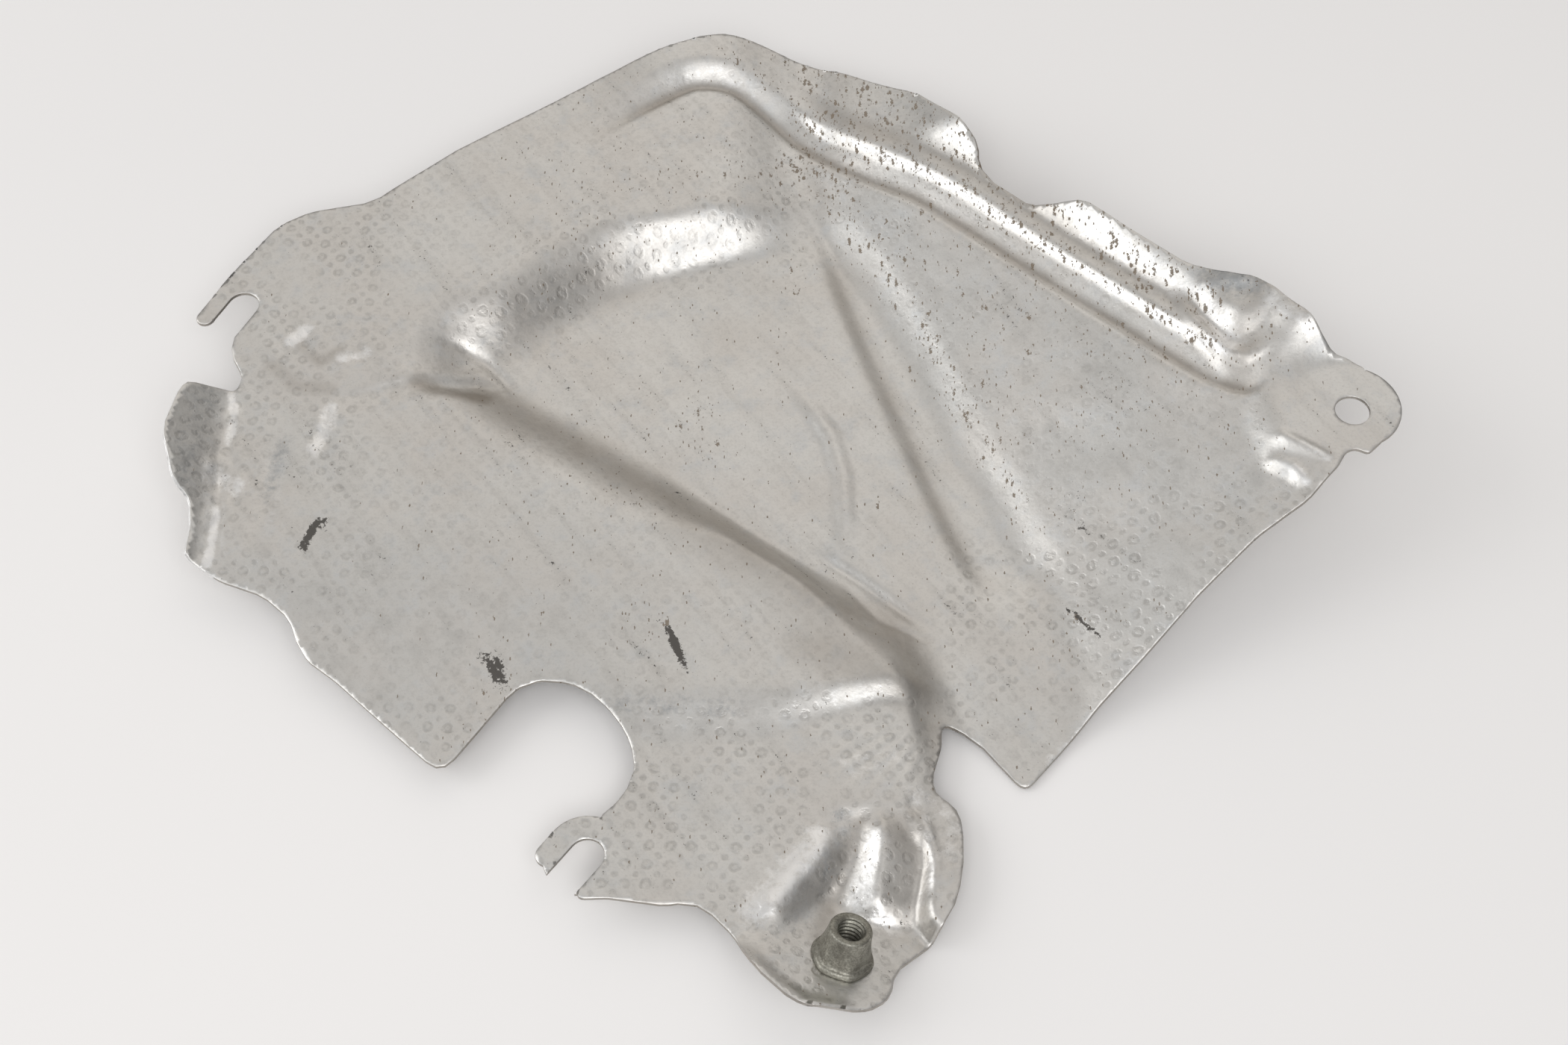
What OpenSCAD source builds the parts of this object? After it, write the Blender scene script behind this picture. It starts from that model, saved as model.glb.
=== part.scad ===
// Pressed engine-bay heat shield with a clinched hex nut, millimetres.
// The plan is drawn with z = 0 on the surface that the shield lies on, and
// the finished part is then moved so that the tab hole is the origin.

/* [Whole shield] */
// Length of the blank, from the left flap to the tab
whole_l = 273.4; // [260:0.2:285]
// Width of the blank, from the nut's edge to the peak
whole_w = 262; // [250:0.2:275]

/* [Sheet] */
// Thickness of the embossed sheet
sheet_t = 0.9; // [0.7:0.1:1.2]
// Spacing of the formed surface's grid
grid = 4.5; // [4:0.1:6]

/* [Tab] */
// Diameter of the round hole in the tab
tab_hole_d = 7.5; // [6.5:0.1:8.5]
// Radius of the tab's round end
tab_r = 10.9; // [9:0.1:12]
// Distance of the round end's centre behind the hole
tab_offset = 1.3; // [0:0.1:2]
// Height of the tab's upper face
tab_h = 28; // [24:0.5:32]

/* [Hooks] */
// Width of the two open slots
slot_w = 7.3; // [6.6:0.1:8]
// Width of the left finger
left_finger_w = 4.2; // [3.6:0.1:5]
// Length of the left finger past its slot's centre
left_finger_l = 9.2; // [8:0.2:11]
// Width of the bottom finger
bottom_finger_w = 5.3; // [4.6:0.1:6]
// Length of the bottom finger past its slot's centre
bottom_finger_l = 7.2; // [6.4:0.2:8.4]

/* [Panels] */
// Height of the lower left panel
panel_h = 9.5; // [8:0.5:11]
// Height of the upper left band
band_h = 11; // [9:0.5:13]
// Height of the sunk middle panel
sunk_h = 3.4; // [3:0.1:4.5]
// Rise of the right panel, in degrees
right_rise = 22.5; // [19:0.5:24]
// Height of the lobe panel that carries the nut
lobe_h = 7.2; // [6:0.2:9]
// Rise of the left flap, in degrees
flap_rise = 38; // [30:1:45]

/* [Walls and beads] */
// Run of the slanting wall below the middle panel
diagonal_run = 9; // [8:0.5:14]
// Run of the walls round the middle panel's upper corner
corner_run = 14; // [12:0.5:17]
// Run of the step above the lobe
step_run = 7; // [6:0.5:10]
// Depth of the long channel beside the middle panel
channel_depth = 1.6; // [1:0.1:2]
// Depth of the groove inside the rim
groove_depth = 1.2; // [0.8:0.1:1.6]
// Height of the ridge outside the groove
ridge_height = 1.5; // [0.8:0.1:2]
// Fall of the flange outside the ridge
ridge_fall = 1.6; // [1:0.1:2.2]
// Rise of the rim's outer lip
lip_rise = 3.6; // [2:0.2:5]

/* [Nut pad] */
// Fall of the pad to the back, in degrees
pad_fall_back = 18; // [15:0.5:20]
// Fall of the pad to the right, in degrees
pad_fall_right = 12; // [9:0.5:14]

/* [Nut] */
// Core diameter of the thread
bore_d = 5; // [4.2:0.1:5.6]
// Width of the hex foot across its flats
hex_af = 11; // [10.5:0.1:13]
// Height of the hex foot
hex_h = 2.2; // [1.8:0.1:3]
// Diameter of the collar at the hex foot
collar_base_d = 10.4; // [9.6:0.1:10.5]
// Diameter of the collar at its mouth
collar_top_d = 8.8; // [8.2:0.1:9.5]
// Height of the whole nut above the sheet
nut_h = 8.6; // [7:0.2:10]
// Diameter of the shank in the sheet
shank_d = 7.6; // [7:0.1:8]
// Diameter of the rolled-over ring under the sheet
swage_d = 9.2; // [8.6:0.1:10]
// Height of the rolled-over ring
swage_h = 0.7; // [0.5:0.1:1]
// Play between the shank and the sheet
shank_play = 0.05; // [0.02:0.01:0.1]

/* [Hidden] */

// Tables and places are drawn at this length and width, and stretched to the sizes above
drawn = [273.4, 262];
stretch = [whole_l / drawn.x, whole_w / drawn.y];
function on_blank(p) = [p.x * stretch.x, p.y * stretch.y];
drawn_tab = [124, 8];
drawn_nut = [11.4, -110.2];
tab_pos = on_blank(drawn_tab);
nut_pos = on_blank(drawn_nut);
left_slot = on_blank([-127.1, 51.5]);
bottom_slot = on_blank([-39.9, -88.6]);

// Outline of the blank without its hooks and tab end: x, y, corner radius
blank = [
  [-129.7, 63.6, 1.5], [-121.8, 76.3, 9], [-114.8, 80.6, 8], [-99.8, 84, 8], [-95.6, 88, 4],
  [-81, 100.9, 6], [-47.2, 125, 12], [-40, 128.9, 6], [-30, 134, 12], [-21, 137.7, 12],
  [-14.3, 138.7, 10], [-6.5, 137.4, 12], [6.1, 132.4, 15], [14.6, 127.8, 15],
  [21.7, 123, 14], [32.5, 116.3, 10], [42.4, 102.7, 8], [46.9, 94.4, 6], [46.9, 89.5, 5],
  [50.2, 84.3, 6], [58.5, 75.8, 6], [64, 73.8, 5], [70.6, 71.9, 5], [79.1, 62.6, 12],
  [91.8, 49.3, 12], [105.4, 41.3, 6], [116, 30.7, 8], [118.8, 26.3, 6], [121.6, 22.9, 3],
  [124.5, 22, 3], [129.5, 18.9, 2], [124, 9, 0], [130.2, 0.6, 2], [126, -3.6, 1.5],
  [123.3, -2.3, 2], [121.3, -2.9, 3], [118.9, -6.9, 6], [111.8, -14.2, 8],
  [100.9, -20.7, 10], [87.9, -31.8, 20], [76.6, -43.1, 20], [66.3, -53, 20],
  [50.3, -71.3, 3.5], [46.4, -66.6, 8], [40.4, -59.6, 12], [33.3, -56.2, 2],
  [33.1, -62.5, 6], [30.9, -69.9, 6], [31.1, -73.7, 5], [35.9, -77, 8], [36.7, -81.9, 14],
  [36.3, -91.9, 20], [33.5, -100.9, 16], [29.8, -105, 12], [22, -112.5, 5],
  [21.1, -118, 4], [18.5, -121.2, 5], [14.4, -122.8, 8], [4.7, -122.7, 6], [1.4, -121.6, 6],
  [-5.7, -114.7, 12], [-10.3, -106.1, 8], [-15.6, -100.5, 8], [-19.3, -99.1, 8],
  [-23.8, -99.8, 8], [-35.3, -98.2, 5], [-41.6, -98.4, 1.5], [-39.9, -88.6, 0],
  [-37.6, -79.8, 3], [-34.4, -76.7, 8], [-31.2, -71.6, 8], [-31, -66.3, 10],
  [-33.1, -60.2, 10], [-36.8, -55.3, 10], [-42.1, -50.2, 10], [-49.1, -47.8, 10],
  [-54.2, -48.3, 8], [-57.7, -50.6, 8], [-71.2, -70.3, 4], [-95.2, -47.3, 20],
  [-101.7, -43, 5], [-104.5, -38.5, 4], [-106.6, -33.1, 6], [-112.8, -27.7, 8],
  [-122.2, -24.3, 8], [-128.8, -20.3, 3], [-130.1, -18.8, 1], [-129.9, -12, 6],
  [-130.8, -5.1, 4], [-134.2, -2.6, 5], [-137.9, 10, 8], [-136.3, 20.8, 5],
  [-135.2, 24.8, 3], [-128, 26.3, 4], [-125.5, 26.5, 1.5], [-124.4, 30.5, 4],
  [-127.3, 35.7, 3], [-128.1, 38.8, 1.5], [-127.1, 51.5, 0], [-133.9, 55.6, 0.5]
];

// Wall lines, as y at each x
corner_line = [[-88, 30], [-79, 44], [-74, 47], [-67, 49], [-53, 61.5], [-44, 68.5],
  [-33, 73], [-18, 77], [0, 80.5], [14, 88], [30, 110]];
diagonal_line = [[-88, 46], [-76, 38], [-68, 31.5], [-43.5, 15], [-28.5, 4.5], [-12.5, -8.5],
  [4, -20.5], [16.5, -29], [26.5, -36], [30.5, -46], [34.5, -56], [40, -75]];
step_line = [[-45, -56.5], [-24, -57], [0, -56], [12.5, -52.5], [22, -50], [30, -52.5]];
groove_line = [[-60, 95], [-47, 104.5], [-32, 116], [-22, 122.5], [-13, 121], [-4, 113.5],
  [10, 100], [21, 91.5], [31, 84.5], [44, 72], [57, 58], [84, 29], [94, 18.8], [102, 13.8],
  [110, 17], [122, 24], [130, 29]];

// Lines that lean too much for a table by x, as x at each y
channel_line = [[-40, 47], [-23, 42.5], [-3, 34.8], [28, 24], [49, 17], [65, 12], [77, 9.5],
  [93, 2]];
bright_line = [[-40, 64], [-15, 58], [5, 50], [20, 43], [42, 35], [58, 28], [70, 21.5],
  [82, 14], [100, 4]];

function clamp01(t) = min(1, max(0, t));
// Soft step, 0 below -run/2 and 1 above run/2
function soft(d, run) = let(t = clamp01(d / run + 0.5)) t * t * (3 - 2 * t);
function bump(d, half) = let(t = clamp01(1 - abs(d) / half)) t * t * (3 - 2 * t);
function blend(a, b, w) = a + (b - a) * w;
function softplus(d, r) = d > r ? d : d < -r ? 0 : (d + r) * (d + r) / (4 * r);
function softmax(a, b, r) = b + softplus(a - b, r);
function along(line, t) = (lookup(t - 3, line) + 2 * lookup(t, line) + lookup(t + 3, line)) / 4;
// Distance from a line that is a table of v at each t, positive on the side of larger v
function beside(line, t, v) =
  let(m = (along(line, t + 4) - along(line, t - 4)) / 8)
  (v - along(line, t)) / sqrt(1 + m * m);

// Middle panel, sinking to the spot that it rests on, and its channel
low_spot = [-33, 63];
function middle(x, y) =
  let(dip = (sunk_h - sheet_t) * bump(norm([x, y] - low_spot), 46),
      side = beside(channel_line, y, x),
      far = beside(bright_line, y, x),
      ends = soft(y + 22, 14) * (1 - soft(y - 84, 14)))
  sunk_h - dip - channel_depth * soft(side, 4.5) * (1 - soft(far, 6)) * ends
  - 2.2 * soft(-50 - y, 40) * soft(x - 40, 20);

// Right panel, rising from the bright line
function right_rise_at(x, y) = tan(right_rise) * softplus(beside(bright_line, y, x) + 3, 5);

// Raised panels beside the middle one
function panel(x, y) =
  panel_h - 5.2 * soft(-y - 38, 56) * soft(-x - 44, 56) + 0.8 * soft(y + 20, 60)
  - 2.4 * bump(norm([x + 71, y - 41]), 10);
function lobe(x, y) = lobe_h + 0.8 * soft(-y - 95, 30) * soft(-x, 20);

// Pad under the nut and the scoop behind it, which meet in a fold
fold_spot = [20, -100];
fold_h = sheet_t + 0.1;
function pad(x, y) =
  fold_h + tan(pad_fall_right) * (fold_spot.x - x) + tan(pad_fall_back) * (fold_spot.y - y);
function scoop(x, y) = fold_h + 0.32 * (y - fold_spot.y) + 0.01 * pow(x - fold_spot.x, 2);
scoop_west = [[-120, -19], [-104, -9], [-97, 0], [-88, 8.5], [-80, 11.5], [-70, 14]];
scoop_east = [[-125, 44], [-108, 34], [-101, 28.5], [-92, 29.5], [-82, 28.5], [-70, 24]];
function nut_lobe(x, y) =
  let(inside = min(beside(scoop_west, y, x), -beside(scoop_east, y, x), -77.5 - y),
      low = softmax(pad(x, y), scoop(x, y), 0.8))
  blend(lobe(x, y) - 1.5 * soft(x - 28, 8), low, soft(inside, 7));

// Rim by distance outside the groove line: a groove, then a broad slope at the peak that
// narrows to a ridge with a falling flange, and a lip that rises towards the tab
rim_from = -40;
rim_to = 106;
function rim(x, y) =
  let(g = beside(groove_line, x, y),
      fade = soft(x - rim_from, 24) * (1 - soft(x - rim_to, 10)),
      whole = groove_depth + ridge_height,
      narrow = whole * soft(g - 4.8, 3) - ridge_fall * soft(g - 10, 8),
      broad = (whole + ridge_fall) * soft(g - 5, 8),
      lip = lip_rise * (soft(x - 44, 30) - 0.4 * soft(x - 84, 20)))
  fade * (blend(broad, narrow, soft(x - 4, 16)) - groove_depth * soft(g, 3))
  + 2.6 * bump(x - 12, 20) * soft(g - 10, 10) + lip * soft(g - 14, 9);

// Fold in the left panel, the flap and the raised left edge
fold_line = [[-100, 27], [-88, 29.5], [-77, 32.5], [-66, 32]];
fold_depth = 2.2;
function fold_at(x, y) =
  -fold_depth * bump(beside(fold_line, x, y) + 2, 5) * soft(x + 92, 20) * (1 - soft(x + 66, 8));
flap_bend = [-126.5, 33];
function flap(x, y) =
  tan(flap_rise) * softplus(flap_bend.x - x, 2.5) * (1 - soft(y - flap_bend.y, 8));

// Upper face of the sheet as drawn, and stretched
function drawn_face(x, y) =
  let(corner = beside(corner_line, x, y),
      diagonal = beside(diagonal_line, x, y),
      step = beside(step_line, x, y),
      mid = middle(x, y) + right_rise_at(x, y),
      low_left = blend(nut_lobe(x, y), panel(x, y), soft(step, step_run)),
      left = softmax(low_left, mid - 3, 1),
      raised = blend(low_left, mid, soft(diagonal, diagonal_run)),
      whole = blend(raised, band_h + right_rise_at(x, y) * 0.5,
                    soft(corner, corner_run) * (1 - soft(x - 6, 22))),
      near_tab = 1 - soft(norm([x, y] - drawn_tab) - 18, 12))
  blend(whole + rim(x, y) + fold_at(x, y) + flap(x, y), tab_h, near_tab);
function upper(x, y) = drawn_face(x / stretch.x, y / stretch.y);

// Outline with rounded corners from a list of x, y, radius
function rounded(list) = [for (i = [0:len(list) - 1])
  let(n = len(list), p = list[i], a = list[(i + n - 1) % n], b = list[(i + 1) % n],
      at = [p.x, p.y], ua = ([a.x, a.y] - at) / norm([a.x, a.y] - at),
      ub = ([b.x, b.y] - at) / norm([b.x, b.y] - at),
      half = acos(max(-1, min(1, ua * ub))) / 2,
      room = 0.49 * min(norm([a.x, a.y] - at), norm([b.x, b.y] - at)),
      cut = min(room, p.z / tan(half)), r = cut * tan(half),
      steps = r < 0.3 ? 0 : max(1, round((90 - half) / 14)))
  each [for (k = [0:steps])
    let(t = steps == 0 ? 0.5 : k / steps, s = (1 - t) * (1 - t), e = t * t)
    at + ua * cut * s + ub * cut * e]];

left_turn = -117;
bottom_turn = -127;
slot_reach = 2 * slot_w;
edge_r = 0.4;

// Slot open towards its mouth, and the band and finger that run round it
module hook_slot(pos, turn) {
  translate(pos) rotate(turn) {
    circle(d = slot_w, $fn = 48);
    translate([0, -slot_w / 2]) square([slot_reach, slot_w]);
  }
}
module hook_finger(pos, turn, wide, length) {
  translate(pos) rotate(turn) {
    circle(d = slot_w + 2 * wide, $fn = 64);
    translate([0, -slot_w / 2 - wide]) square([length - wide / 2, wide]);
    translate([length - wide / 2, -(slot_w + wide) / 2]) circle(d = wide, $fn = 32);
  }
}

module blank_2d() {
  offset(r = edge_r, $fn = 12) offset(r = -2 * edge_r, $fn = 12) offset(r = edge_r, $fn = 12)
    difference() {
      union() {
        polygon([for (p = rounded(blank)) on_blank(p)]);
        translate(tab_pos + [0, tab_offset]) circle(r = tab_r, $fn = 64);
        hook_finger(left_slot, left_turn, left_finger_w, left_finger_l);
        hook_finger(bottom_slot, bottom_turn, bottom_finger_w, bottom_finger_l);
      }
      hook_slot(left_slot, left_turn);
      hook_slot(bottom_slot, bottom_turn);
    }
}

// Grid over the blank, its upper face and its lower face one thickness below
low_corner = on_blank([-140.3, -125.7]);
high_corner = on_blank([138, 142]);
columns = ceil((high_corner.x - low_corner.x) / grid);
rows = ceil((high_corner.y - low_corner.y) / grid);
function lower(x, y) =
  let(e = 0.5, gx = (upper(x + e, y) - upper(x - e, y)) / (2 * e),
      gy = (upper(x, y + e) - upper(x, y - e)) / (2 * e))
  upper(x, y) - sheet_t * sqrt(1 + gx * gx + gy * gy);

module formed_plate() {
  n = (columns + 1) * (rows + 1);
  spots = [for (j = [0:rows]) for (i = [0:columns]) low_corner + grid * [i, j]];
  top = [for (s = spots) [s.x, s.y, upper(s.x, s.y)]];
  bottom = [for (s = spots) [s.x, s.y, lower(s.x, s.y)]];
  cell = function(i, j) j * (columns + 1) + i;
  // Each square is split along its flatter diagonal, so that slanting walls stay smooth
  top_faces = [for (j = [0:rows - 1]) for (i = [0:columns - 1])
    let(a = cell(i, j), b = cell(i + 1, j), c = cell(i + 1, j + 1), d = cell(i, j + 1))
    each abs(top[a].z - top[c].z) < abs(top[b].z - top[d].z)
      ? [[a, c, b], [a, d, c]] : [[a, d, b], [b, d, c]]];
  bottom_faces = [for (f = top_faces) [f[2] + n, f[1] + n, f[0] + n]];
  ring = concat([for (i = [0:columns]) cell(i, 0)], [for (j = [1:rows]) cell(columns, j)],
    [for (i = [columns - 1:-1:0]) cell(i, rows)], [for (j = [rows - 1:-1:1]) cell(0, j)]);
  walls = [for (k = [0:len(ring) - 1])
    let(a = ring[k], b = ring[(k + 1) % len(ring)])
    each [[a, b, b + n], [a, b + n, a + n]]];
  polyhedron(concat(top, bottom), concat(top_faces, bottom_faces, walls));
}

// Moves the drawing to the tab hole
module at_tab_hole() {
  translate([-tab_pos.x, -tab_pos.y, -tab_h]) children();
}
// Places what stands square on the pad
module on_pad() {
  translate([nut_pos.x, nut_pos.y, pad(drawn_nut.x, drawn_nut.y)])
    multmatrix(pad_frame) children();
}
pad_z = let(n = [tan(pad_fall_right) / stretch.x, tan(pad_fall_back) / stretch.y, 1]) n / norm(n);
pad_x = let(n = cross([0, 1, 0], pad_z)) n / norm(n);
pad_y = cross(pad_z, pad_x);
pad_frame = [[pad_x.x, pad_y.x, pad_z.x, 0], [pad_x.y, pad_y.y, pad_z.y, 0],
  [pad_x.z, pad_y.z, pad_z.z, 0], [0, 0, 0, 1]];

// Reach of the hole cutters above and below the sheet
hole_reach = 4;
module shield_sheet() {
  color("#b9b8b4") at_tab_hole() difference() {
    resize([0, 0, 0]) intersection() {
      formed_plate();
      translate([0, 0, -tab_h]) linear_extrude(4 * tab_h) blank_2d();
    }
    translate([tab_pos.x, tab_pos.y, tab_h - hole_reach])
      cylinder(d = tab_hole_d, h = 2 * hole_reach, $fn = 64);
    on_pad() translate([0, 0, -hole_reach])
      cylinder(d = shank_d + 2 * shank_play, h = 2 * hole_reach, $fn = 64);
  }
}

// Half section of the collar, the shank in the sheet and the rolled-over ring
module nut_section() {
  polygon([
    [0, -sheet_t - swage_h], [swage_d / 2, -sheet_t - swage_h], [swage_d / 2, -sheet_t],
    [shank_d / 2, -sheet_t], [shank_d / 2, hex_h / 2], [collar_base_d / 2, hex_h / 2],
    [collar_base_d / 2, hex_h], [collar_top_d / 2, nut_h], [0, nut_h]
  ]);
}

module threaded_nut() {
  color("#8d8b80") at_tab_hole() on_pad() difference() {
    union() {
      cylinder(d = hex_af / cos(30), h = hex_h, $fn = 6);
      rotate_extrude($fn = 64) nut_section();
    }
    translate([0, 0, -5]) cylinder(d = bore_d, h = 20, $fn = 64);
  }
}

shield_sheet();
threaded_nut();
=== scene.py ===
import bpy
import math
import numpy as np
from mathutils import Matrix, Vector
from mathutils.geometry import delaunay_2d_cdt


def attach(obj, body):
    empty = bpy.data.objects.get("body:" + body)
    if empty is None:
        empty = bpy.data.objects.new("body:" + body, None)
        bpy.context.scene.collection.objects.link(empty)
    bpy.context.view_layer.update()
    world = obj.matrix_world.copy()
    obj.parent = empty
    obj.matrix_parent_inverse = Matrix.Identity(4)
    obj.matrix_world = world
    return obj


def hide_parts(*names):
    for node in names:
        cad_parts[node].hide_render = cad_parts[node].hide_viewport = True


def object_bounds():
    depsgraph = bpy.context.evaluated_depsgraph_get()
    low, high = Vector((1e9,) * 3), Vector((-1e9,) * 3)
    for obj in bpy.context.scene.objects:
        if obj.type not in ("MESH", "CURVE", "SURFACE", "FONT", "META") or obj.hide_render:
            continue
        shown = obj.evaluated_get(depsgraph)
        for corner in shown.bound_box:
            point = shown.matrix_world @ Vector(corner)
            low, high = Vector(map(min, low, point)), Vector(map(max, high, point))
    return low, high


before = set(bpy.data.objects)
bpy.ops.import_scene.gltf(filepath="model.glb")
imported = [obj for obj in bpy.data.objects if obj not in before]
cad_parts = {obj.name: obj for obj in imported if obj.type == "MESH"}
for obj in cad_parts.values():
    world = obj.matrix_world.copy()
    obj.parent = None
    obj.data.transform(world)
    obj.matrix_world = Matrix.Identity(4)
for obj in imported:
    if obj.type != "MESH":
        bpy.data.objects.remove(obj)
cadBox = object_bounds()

tabHole = np.array([124.0, 8.0, 28.0])  # the drawing's millimetres put the tab hole here


def soft(d, run):
    t = np.clip(d / run + 0.5, 0, 1)
    return t * t * (3 - 2 * t)


def bump(d, half):
    t = np.clip(1 - np.abs(d) / half, 0, 1)
    return t * t * (3 - 2 * t)


def softPlus(d, r):
    return np.where(d > r, d, np.where(d < -r, 0, (d + r) ** 2 / (4 * r)))


def softMax(a, b, r):
    return b + softPlus(a - b, r)


def mix(a, b, w):
    return a + (b - a) * w


def along(line, t):
    xs, ys = np.array(line).T
    at = lambda u: np.interp(u, xs, ys)
    return (at(t - 3) + 2 * at(t) + at(t + 3)) / 4


def beside(line, t, v):  # signed distance from a line that is a table of v at each t
    m = (along(line, t + 4) - along(line, t - 4)) / 8
    return (v - along(line, t)) / np.sqrt(1 + m * m)


def nearPath(path, x, y):  # distance from a path, positive on its left, and the share along it
    pts = np.array(path, float)
    steps = np.hypot(*(pts[1:] - pts[:-1]).T)
    total, gone = steps.sum(), 0.0
    best = np.full(np.shape(x), 1e9)
    side = np.zeros(np.shape(x))
    frac = np.zeros(np.shape(x))
    for (ax, ay), (bx, by), size in zip(pts[:-1], pts[1:], steps):
        ux, uy = (bx - ax) / size, (by - ay) / size
        s = np.clip((x - ax) * ux + (y - ay) * uy, 0, size)
        d = np.hypot(x - ax - s * ux, y - ay - s * uy)
        hit = d < best
        best = np.where(hit, d, best)
        side = np.where(hit, np.sign(ux * (y - ay) - uy * (x - ax)), side)
        frac = np.where(hit, (gone + s) / total, frac)
        gone += size
    return best * side, frac


def taper(frac, end=0.2):
    return np.clip(frac / end, 0, 1) * np.clip((1 - frac) / end, 0, 1)


def ridgeOn(path, x, y, high, half, end=0.2):
    d, frac = nearPath(path, x, y)
    return high * bump(d, half) * taper(frac, end)


def patchOn(spot, x, y, turn=0.0):  # 1 in a soft ellipse of x, y, half width and half height
    c, s = math.cos(math.radians(turn)), math.sin(math.radians(turn))
    u, v = x - spot[0], y - spot[1]
    r = np.hypot((u * c + v * s) / spot[2], (v * c - u * s) / spot[3])
    return np.clip(1.3 - r * 0.8, 0, 1) ** 2


rng = np.random.default_rng(7)


def waves(x, y, size, count=14):  # gentle unevenness of hand-sized sheet
    total = np.zeros(np.shape(x))
    for _ in range(count):
        a, ph = rng.uniform(0, math.tau, 2)
        k = math.tau / (size * rng.uniform(0.7, 1.6))
        total += np.sin((x * math.cos(a) + y * math.sin(a)) * k + ph)
    return total / math.sqrt(count)


sheet = {
    "thickness": 0.9,
    "topSpacing": 0.92,  # how far apart the mesh points are
    "backSpacing": 2.2,
    "edgeSpacing": 0.8,
    "edgeRoll": 0.12,
    "tabHole": 7.5,
    "nutHole": 7.8,
    "tabRadius": 10.9,
    "tabOffset": 1.3,
    "slotWidth": 7.3,
    "leftFinger": (4.2, 9.2, -117),  # width, length, turn
    "bottomFinger": (5.3, 7.2, -127),
    "panelHigh": 9.5,
    "bandHigh": 11.0,
    "sunkHigh": 3.4,
    "rightRise": 22.5,
    "lobeHigh": 7.2,
    "flapRise": 38.0,
    "flapBend": -126.5,
    "diagonalRun": 9.0,
    "cornerRun": 14.0,
    "stepRun": 7.0,
    "channelDeep": 1.6,
    "grooveDeep": 1.2,
    "ridgeHigh": 1.5,
    "ridgeFall": 1.6,
    "crestFoot": 0.55,
    "crestHigh": 1.2,
    "crestFall": 1.35,
    "lipRise": 3.6,
    "padBack": 18.0,
    "padRight": 12.0,
    "humpHigh": 3.0,
    "waviness": 0.055,
    "smallWaves": 0.012,
    "hammered": 0.24,
    "ripples": 0.2,
    "turnedEdge": 1.5,
}

tabSpot = (124, 8)
leftSlot = (-127.1, 51.5)
bottomSlot = (-39.9, -88.6)
nutSpot = (11.4, -110.2)
lowSpot = (-33, 63)

blank = [  # x, y, corner radius
    [-129.7, 63.6, 1.5], [-121.8, 76.3, 9], [-114.8, 80.6, 8], [-99.8, 84, 8], [-95.6, 88, 4],
    [-81, 100.9, 6], [-47.2, 125, 12], [-40, 128.9, 6], [-30, 134, 12], [-21, 137.7, 12],
    [-14.3, 138.7, 10], [-6.5, 137.4, 12], [6.1, 132.4, 15], [14.6, 127.8, 15],
    [21.7, 123, 14], [32.5, 116.3, 10], [42.4, 102.7, 8], [46.9, 94.4, 6], [46.9, 89.5, 5],
    [50.2, 84.3, 6], [58.5, 75.8, 6], [64, 73.8, 5], [70.6, 71.9, 5], [79.1, 62.6, 12],
    [91.8, 49.3, 12], [105.4, 41.3, 6], [116, 30.7, 8], [118.8, 26.3, 6], [121.6, 22.9, 3],
    [124.5, 22, 3], [129.5, 18.9, 2], [124, 9, 0], [130.2, 0.6, 2], [126, -3.6, 1.5],
    [123.3, -2.3, 2], [121.3, -2.9, 3], [118.9, -6.9, 6], [111.8, -14.2, 8],
    [100.9, -20.7, 10], [87.9, -31.8, 20], [76.6, -43.1, 20], [66.3, -53, 20],
    [50.3, -71.3, 3.5], [46.4, -66.6, 8], [40.4, -59.6, 12], [33.3, -56.2, 2],
    [33.1, -62.5, 6], [30.9, -69.9, 6], [31.1, -73.7, 5], [35.9, -77, 8], [36.7, -81.9, 14],
    [36.3, -91.9, 20], [33.5, -100.9, 16], [29.8, -105, 12], [22, -112.5, 5],
    [21.1, -118, 4], [18.5, -121.2, 5], [14.4, -122.8, 8], [4.7, -122.7, 6], [1.4, -121.6, 6],
    [-5.7, -114.7, 12], [-10.3, -106.1, 8], [-15.6, -100.5, 8], [-19.3, -99.1, 8],
    [-23.8, -99.8, 8], [-35.3, -98.2, 5], [-41.6, -98.4, 1.5], [-39.9, -88.6, 0],
    [-37.6, -79.8, 3], [-34.4, -76.7, 8], [-31.2, -71.6, 8], [-31, -66.3, 10],
    [-33.1, -60.2, 10], [-36.8, -55.3, 10], [-42.1, -50.2, 10], [-49.1, -47.8, 10],
    [-54.2, -48.3, 8], [-57.7, -50.6, 8], [-71.2, -69.4, 4], [-95.2, -47.8, 20],
    [-101.7, -43, 5], [-104.5, -38.5, 4], [-106.6, -33.1, 6], [-112.8, -27.7, 8],
    [-122.2, -24.3, 8], [-128.8, -20.3, 3], [-130.1, -18.8, 1], [-129.9, -12, 6],
    [-130.8, -5.1, 4], [-134.2, -2.6, 5], [-137.9, 10, 8], [-136.3, 20.8, 5],
    [-135.2, 24.8, 3], [-128, 26.3, 4], [-125.5, 26.5, 1.5], [-124.4, 30.5, 4],
    [-127.3, 35.7, 3], [-128.1, 38.8, 1.5], [-127.1, 51.5, 0], [-133.9, 55.6, 0.5],
]
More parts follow.
